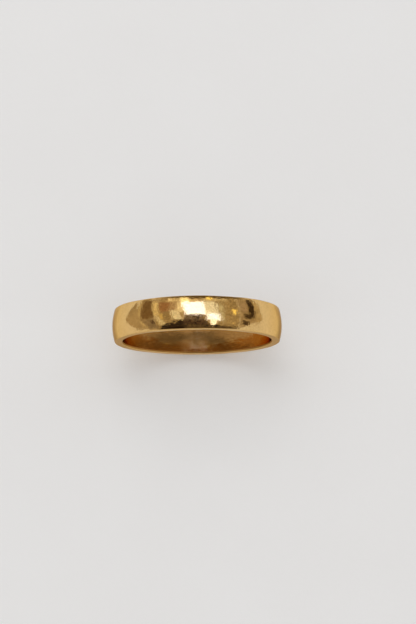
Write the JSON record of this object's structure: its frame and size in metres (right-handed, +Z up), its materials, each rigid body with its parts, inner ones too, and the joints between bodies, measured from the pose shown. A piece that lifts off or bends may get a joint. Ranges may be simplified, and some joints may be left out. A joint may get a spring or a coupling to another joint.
{
  "type": "wedding band",
  "caption": "Plain polished gold finger ring: gently domed outside, flat side faces, softened edges and a smooth bore for the finger.",
  "frame": {"origin": "centre of the finger bore, half way along its length", "axes": "+Y along the bore's axis; +Z up, with the band standing on edge and its soldered joint at the lowest point; +X to the right when the band is seen from its side face at -Y"},
  "size_m": [0.0196, 0.0038, 0.0196],
  "materials": {
    "gold": "polished 18 carat yellow gold, finely scratched by wear",
    "gold_solder": "gold solder, a shade paler, filed and polished flush with the band"
  },
  "bodies": {
    "root": {"band": "gold", "solder_seam": "gold_solder"}
  },
  "joints": []
}
